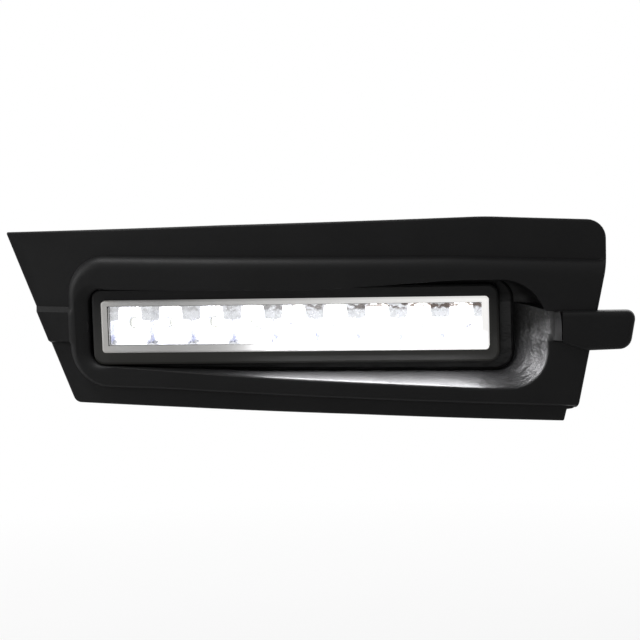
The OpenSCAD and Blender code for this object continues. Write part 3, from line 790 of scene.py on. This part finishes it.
def in_recess(m):
    """1 on the walls of the recess and 0 on the panel's face."""
    x = m.axis("X")
    away = m.calc("ADD", x, -0.12)
    face = m.calc("MULTIPLY", m.times(away, away), 0.555)
    deep = m.calc("SUBTRACT", m.calc("ADD", m.axis("Y"), 0.059), face)
    z = m.axis("Z")
    inner = m.times(m.spread(z, 1.0, 0.0, 0.009, 0.013), m.spread(z, 0.0, 1.0, -0.0272, -0.0258))
    sides = m.times(m.spread(x, 0.0, 1.0, -0.06, 0.02), m.spread(x, 1.0, 0.0, 0.122, 0.125))
    return m.times(m.times(inner, sides), m.spread(deep, 0.0, 1.0, 0.0005, 0.003))


def metal(name, colour, rough, scale=(1, 1, 1), wear=0.15):
    """Plain or plated metal with fine scratches."""
    m = Nodes(name)
    where = m.coords(scale)
    dark, pale = shades(colour, 1 - wear, 1 + wear * 0.6)
    mottle = m.noise(where, 180, 5, 0.6)
    m.surface(
        Base_Color=m.colours(mottle, [(0.3, dark), (0.7, pale)]),
        Metallic=1.0,
        Roughness=m.spread(m.noise(where, 420, 3), rough - 0.06, rough + 0.1),
        Normal=m.bump(m.noise(where, 900, 2), 0.12, 0.0001),
    )
    return m.material


def clear_lens(name):
    """Clear plastic that lets light straight through, with a milky border over the skirt that carries a painted
    glow.
    """
    m = Nodes(name)
    x, z = m.axis("X"), m.axis("Z")
    side = m.spread(m.calc("ABSOLUTE", x), 0.0, 1.0, 0.0869, 0.0871)
    top, low = m.spread(z, 0.0, 1.0, 0.0097, 0.0099), m.spread(z, 1.0, 0.0, -0.0089, -0.0087)
    above = m.calc("MAXIMUM", top, low)
    milky_painted_glow = m.add("ShaderNodeBsdfPrincipled")
    milky_painted_glow.inputs["Base Color"].default_value = (0.42, 0.42, 0.42, 1)
    # Painted glow on the milky border: emission stands in for cup light shining through it, stronger to the right
    # and warmer at the left end.
    tint = m.colours(m.spread(x, 0.0, 1.0, -0.093, -0.08), [(0, (1, 0.93, 0.82)), (1, (1, 0.99, 0.97))])
    m.link(tint, milky_painted_glow.inputs["Emission Color"])
    m.link(m.spread(x, 0.15, 0.8, -0.06, 0.08), milky_painted_glow.inputs["Emission Strength"])
    m.link(m.spread(m.noise(m.coords(), 900, 3), 0.2, 0.42), milky_painted_glow.inputs["Roughness"])
    through = m.add("ShaderNodeBsdfTransparent")
    through.inputs["Color"].default_value = (0.97, 0.975, 0.98, 1)
    gloss = m.add("ShaderNodeBsdfGlossy")
    gloss.inputs["Roughness"].default_value = 0.04
    fresnel = m.add("ShaderNodeFresnel")
    fresnel.inputs["IOR"].default_value = 1.35
    clear = m.shader_mix(fresnel.outputs["Fac"], through, gloss)
    both = m.shader_mix(m.calc("MAXIMUM", side, above), clear, milky_painted_glow)
    m.link(both.outputs[0], m.out.inputs["Surface"])
    return m.material


def light_source(name, colour, strength):
    """Lit chip: even light, a little warmer towards its edge."""
    m = Nodes(name)
    where = m.coords()
    warm = m.colours(
        m.noise(where, 700, 2), [(0.35, (colour[0], colour[1] * 0.97, colour[2] * 0.9)), (0.65, tuple(colour))]
    )
    m.surface(Base_Color=(0.9, 0.88, 0.8, 1), Roughness=0.3, Emission_Color=warm, Emission_Strength=strength)
    return m.material


def tray_coating(name):
    """Coated front of the reflector, grey between the lit cups and dark in patches along its top, with a faint
    painted glow.
    """
    m = Nodes(name)
    where = m.coords()
    tint = m.colours(
        m.noise(where, 210, 3), [(0.3, (0.5, 0.5, 0.53)), (0.55, (0.66, 0.66, 0.67)), (0.8, (0.58, 0.57, 0.62))]
    )
    marks = m.marks()
    m.surface(
        Base_Color=m.mixed(marks, tint, (0.11, 0.07, 0.05, 1)),
        Metallic=0.6,
        Roughness=m.spread(m.noise(where, 500, 2), 0.2, 0.35),
        # Painted glow: faint emission stands in for light from the cups, weaker on the dark patches.
        Emission_Color=(0.97, 0.98, 1, 1),
        Emission_Strength=m.times(m.spread(m.noise(where, 420, 3), 0.2, 0.55), m.spread(marks, 1.0, 0.1)),
    )
    return m.material


def cup_coating(name, painted_glow, pitch):
    """Bright coated reflector with a painted glow: emission stands in for the light its cups reflect, with less
    of it towards their edges.
    """
    m = Nodes(name)
    where = m.coords()
    x, z = m.axis("X"), m.axis("Z")
    tint = m.colours(
        m.noise(where, 260, 3), [(0.3, (0.78, 0.79, 0.86)), (0.6, (0.92, 0.92, 0.93)), (0.8, (0.88, 0.86, 0.94))]
    )
    marks = m.marks()
    # Painted glow: strongest at mid height, faint between cups, a little stronger to the right and broken into
    # patches.
    high = m.spread(m.calc("ABSOLUTE", m.calc("ADD", z, 0.0005)), 1.0, 0.25, 0.004, 0.0092)
    aside = m.calc("PINGPONG", x, pitch / 2)
    between = m.spread(aside, 1.0, 0.16, 0.0072, 0.0088)
    along = m.spread(x, 0.75, 1.1, -0.09, 0.06)
    patches = m.noise(m.coords((1, 1, 1.6)), 420, 5, 0.7)
    dapple = m.spread(patches, painted_glow * 0.2, painted_glow * 2.1, 0.36, 0.54)
    painted_cup_glow = m.times(m.times(high, between), m.times(along, dapple))
    tint = m.mixed(m.spread(aside, 0.0, 0.75, 0.007, 0.0088), tint, (0.42, 0.44, 0.6, 1))
    m.surface(
        Base_Color=m.mixed(marks, tint, (0.06, 0.04, 0.03, 1)),
        Metallic=0.9,
        Roughness=m.spread(m.noise(where, 500, 2), 0.1, 0.24),
        Emission_Color=m.colours(patches, [(0.3, (0.82, 0.84, 1)), (0.6, (1, 1, 0.98))]),
        Emission_Strength=m.times(painted_cup_glow, m.spread(marks, 1.0, 0.05)),
    )
    return m.material


# ---------------------------------------------------------------- stage


def any_of(tree, path, names):
    """1 for a ray of any of the named kinds."""
    socket = path.outputs[names[0]]
    for name in names[1:]:
        node = tree.nodes.new("ShaderNodeMath")
        node.operation = "MAXIMUM"
        tree.links.new(socket, node.inputs[0])
        tree.links.new(path.outputs[name], node.inputs[1])
        socket = node.outputs[0]
    return socket


def build_world(scene):
    """Soft light for the part, and white where the backdrop is seen."""
    world = bpy.data.worlds.new("studio")
    scene.world = world
    world.use_nodes = True
    tree = world.node_tree
    tree.nodes.clear()
    out = tree.nodes.new("ShaderNodeOutputWorld")
    mix = tree.nodes.new("ShaderNodeMixShader")
    path = tree.nodes.new("ShaderNodeLightPath")
    tree.links.new(any_of(tree, path, BACKDROP_RAYS), mix.inputs[0])
    for socket, strength in enumerate((AMBIENT, BACKDROP), 1):
        light = tree.nodes.new("ShaderNodeBackground")
        light.inputs["Color"].default_value = (1, 1, 1, 1)
        light.inputs["Strength"].default_value = strength
        tree.links.new(light.outputs[0], mix.inputs[socket])
    tree.links.new(mix.outputs[0], out.inputs["Surface"])


def build_floor(scene, colour):
    """A pale floor that fades into the backdrop and keeps the part's shadow."""
    m = Nodes("pale_floor")
    where = m.coords()
    dark, pale = shades(colour, 0.98, 1.02)
    base = m.add("ShaderNodeBsdfPrincipled")
    base.inputs["Roughness"].default_value = 0.8
    m.link(m.colours(m.noise(where, 6, 3), [(0.3, dark), (0.7, pale)]), base.inputs["Base Color"])
    away = m.add("ShaderNodeVectorMath", operation="LENGTH")
    m.link(where, away.inputs[0])
    fade = m.spread(away.outputs["Value"], 0.6, 1.0, 0.35, 1.0)
    path = m.add("ShaderNodeLightPath")
    seen = m.times(any_of(m.tree, path, BACKDROP_RAYS), fade)
    bright = m.add("ShaderNodeEmission")
    bright.inputs["Strength"].default_value = BACKDROP
    m.link(m.shader_mix(seen, base, bright).outputs[0], m.out.inputs["Surface"])
    mesh = bpy.data.meshes.new("floor")
    corners = box_corners(FLOOR_HALF, FLOOR_HALF)
    mesh.from_pydata([(x, y, FLOOR_Z) for x, y in corners], [], [(0, 1, 2, 3)])
    mesh.materials.append(m.material)
    floor_object = bpy.data.objects.new("floor", mesh)
    scene.collection.objects.link(floor_object)


def area_lamp(scene, name, place, power):
    """An area lamp, as (its light, its object)."""
    light = bpy.data.lights.new(name, "AREA")
    light.energy = power
    lamp = bpy.data.objects.new(name, light)
    lamp.location = place
    scene.collection.objects.link(lamp)
    return light, lamp


def place_lamps(scene):
    for name, place, size, power in LAMPS:
        light, lamp = area_lamp(scene, name, place, power)
        light.size = size
        aim = Vector(LAMPS_AIM_AT) - Vector(place)
        lamp.rotation_euler = aim.to_track_quat("-Z", "Y").to_euler()

    # Light that the lamp throws on the recess.
    place = (THROWN_X, scene.lamp_sizes.lens_face - THROWN_AHEAD, THROWN_Z)
    light, lamp = area_lamp(scene, "thrown", place, THROWN_POWER)
    light.shape = "RECTANGLE"
    light.size, light.size_y = THROWN_SIZE
    light.color = (0.98, 0.975, 1.0)
    lamp.rotation_euler = (math.radians(THROWN_TILT), 0, 0)
    lamp.visible_camera = False


def place_camera(scene):
    camera = bpy.data.cameras.new("camera")
    camera.sensor_width = CAMERA_SENSOR
    camera.lens = CAMERA_LENS
    made = bpy.data.objects.new("camera", camera)
    scene.collection.objects.link(made)
    yaw, pitch, roll = (math.radians(a) for a in (CAMERA_YAW, CAMERA_PITCH, CAMERA_ROLL))
    back = Vector((math.sin(yaw) * math.cos(pitch), -math.cos(yaw) * math.cos(pitch), math.sin(pitch)))
    side = (-back).cross(Vector((0, 0, 1))).normalized()
    up = side.cross(-back)
    right = side * math.cos(roll) - up * math.sin(roll)
    top = side * math.sin(roll) + up * math.cos(roll)
    turn = Matrix((right, top, back)).transposed().to_4x4()
    target = Vector((TARGET_X, scene.lamp_sizes.lens_face, TARGET_Z))
    made.matrix_world = Matrix.Translation(target + back * CAMERA_AWAY) @ turn
    scene.camera = made


# ---------------------------------------------------------------- operators


class LIGHT_OT_stage(bpy.types.Operator):
    """Floor, lamps, surroundings and camera"""

    bl_idname = "running_light.stage"
    bl_label = "Stage"

    def execute(self, context):
        scene = context.scene
        build_world(scene)
        build_floor(scene, scene.light_finishes.floor)
        place_lamps(scene)
        place_camera(scene)
        scene.view_settings.view_transform = "Standard"
        return {"FINISHED"}


class LIGHT_OT_cover(bpy.types.Operator):
    """Moulded cover panel with frame, scoop, swage, slat, ribs and bosses"""

    bl_idname = "running_light.cover"
    bl_label = "Cover panel"

    def execute(self, context):
        sizes, finishes = context.scene.panel_sizes, context.scene.light_finishes
        lens_y = context.scene.lamp_sizes.lens_face / MM
        material = moulded_plastic("panel_plastic", finishes.plastic, 0.46, 0.3, 0.11, recess=in_recess)
        build_panel(Panel(sizes), sizes.spacing / MM, lens_y, material)
        return {"FINISHED"}


class LIGHT_OT_lamp(bpy.types.Operator):
    """Housing, lens, reflector and light sources"""

    bl_idname = "running_light.lamp"
    bl_label = "Lamp"

    def execute(self, context):
        finishes = context.scene.light_finishes
        housing = moulded_plastic("housing_plastic", finishes.housing, 0.38, 0.15, 0.11, 0.035)
        finish_nodes(["lamp_housing"], housing)
        finish_nodes(["lens"], clear_lens("lens_clear"))
        tray = Tray(context.scene.lamp_sizes)
        tray.build(cup_coating("cup_coating", finishes.painted_glow, tray.pitch * MM), tray_coating("tray_coating"))
        sources = light_source("light_source", finishes.light, finishes.strength)
        finish_nodes([f"led_{i}" for i in range(1, 10)], sources)
        return {"FINISHED"}


class LIGHT_OT_back(bpy.types.Operator):
    """Finishes of the pieces behind the panel"""

    bl_idname = "running_light.back"
    bl_label = "Back"

    def execute(self, context):
        rubber = moulded_plastic("seal_rubber", (0.012, 0.012, 0.012), 0.7, 0.4, 0.3)
        white = moulded_plastic("board_white", (0.72, 0.73, 0.7), 0.4, 0.08)
        pad = moulded_plastic("pad_rubber", (0.22, 0.3, 0.36), 0.75, 0.3, 0.3)
        socket = moulded_plastic("socket_plastic", (0.68, 0.63, 0.5), 0.45, 0.1)
        gland = moulded_plastic("gland_plastic", (0.02, 0.02, 0.021), 0.45, 0.2)
        sink = metal("sink_aluminium", (0.5, 0.51, 0.53), 0.42)
        steel = metal("bracket_steel", (0.52, 0.53, 0.54), 0.34, (1, 1, 8))
        screws = metal("screw_steel", (0.46, 0.47, 0.49), 0.3)
        spring = metal("spring_steel", (0.56, 0.57, 0.58), 0.26, (8, 1, 1))
        finish_nodes(["lens_seal", "sink_seal"], rubber)
        finish_nodes(["led_board"], white)
        finish_nodes(["thermal_pad"], pad)
        finish_nodes(["lead_socket"], socket)
        finish_nodes(["cable_gland", "vent_plug"], gland)
        finish_nodes(["heat_sink"], sink)
        finish_nodes([n for n in NODES if "bracket" in n and "screw" not in n], steel)
        finish_nodes([n for n in NODES if "screw" in n], screws)
        finish_nodes([n for n in NODES if n.startswith("clip_")], spring)
        return {"FINISHED"}


def finish_nodes(names, material):
    """Gives carried-over CAD nodes their finish."""
    for name in names:
        mesh = NODES[name].data
        mesh.materials.clear()
        mesh.materials.append(material)


class LIGHT_PT_panel(bpy.types.Panel):
    """Sizes and pieces of the running light"""

    bl_idname = "LIGHT_PT_panel"
    bl_label = "Running Light"
    bl_space_type = "VIEW_3D"
    bl_region_type = "UI"
    bl_category = "Running Light"

    def draw(self, context):
        for group in (context.scene.panel_sizes, context.scene.lamp_sizes, context.scene.light_finishes):
            box = self.layout.box()
            for name in group.__annotations__:
                box.prop(group, name)
        for operator in OPERATORS:
            self.layout.operator(operator.bl_idname)


OPERATORS = (LIGHT_OT_stage, LIGHT_OT_cover, LIGHT_OT_lamp, LIGHT_OT_back)
CLASSES = (PanelSizes, LampSizes, Finishes, *OPERATORS, LIGHT_PT_panel)


def register():
    for item in CLASSES:
        bpy.utils.register_class(item)
    bpy.types.Scene.panel_sizes = PointerProperty(type=PanelSizes)
    bpy.types.Scene.lamp_sizes = PointerProperty(type=LampSizes)
    bpy.types.Scene.light_finishes = PointerProperty(type=Finishes)


def unregister():
    del bpy.types.Scene.light_finishes
    del bpy.types.Scene.lamp_sizes
    del bpy.types.Scene.panel_sizes
    for item in reversed(CLASSES):
        bpy.utils.unregister_class(item)


def main():
    register()
    bpy.ops.running_light.stage()
    bpy.ops.running_light.cover()
    bpy.ops.running_light.lamp()
    bpy.ops.running_light.back()


if __name__ == "__main__":
    main()
